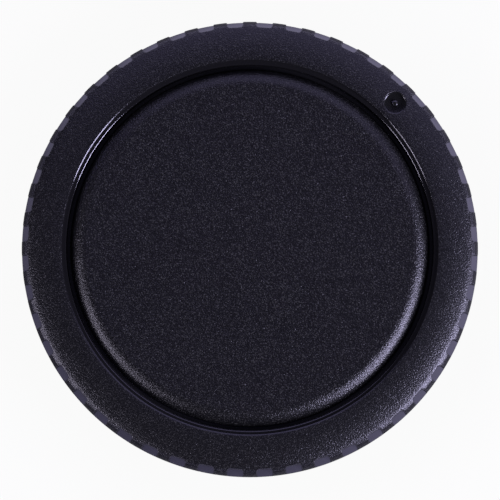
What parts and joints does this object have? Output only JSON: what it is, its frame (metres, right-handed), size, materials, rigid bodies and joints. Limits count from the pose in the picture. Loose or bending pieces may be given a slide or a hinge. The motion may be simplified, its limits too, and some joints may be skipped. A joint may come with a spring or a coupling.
{
  "type": "camera body cap",
  "caption": "Round black camera body cap: notched grip rim, raised grained centre disc in a groove, index dimple, and a hollow collar with bayonet lugs behind.",
  "frame": {"origin": "on the cap's axis, in the plane of the collar's rear rim, on which the cap rests face up", "axes": "+Z along the cap's axis, out of its front face; the index dimple points between +X and +Y, and the middle of the first bayonet lug points to +Y"},
  "size_m": [0.066, 0.066, 0.0096],
  "materials": {
    "moulded_plastic": "black injection-moulded plastic, spark-eroded grain on the front ring and the centre disc, smooth in the groove, the notches and the dimple"
  },
  "bodies": {
    "root": {"body_cap": "moulded_plastic"}
  },
  "joints": []
}
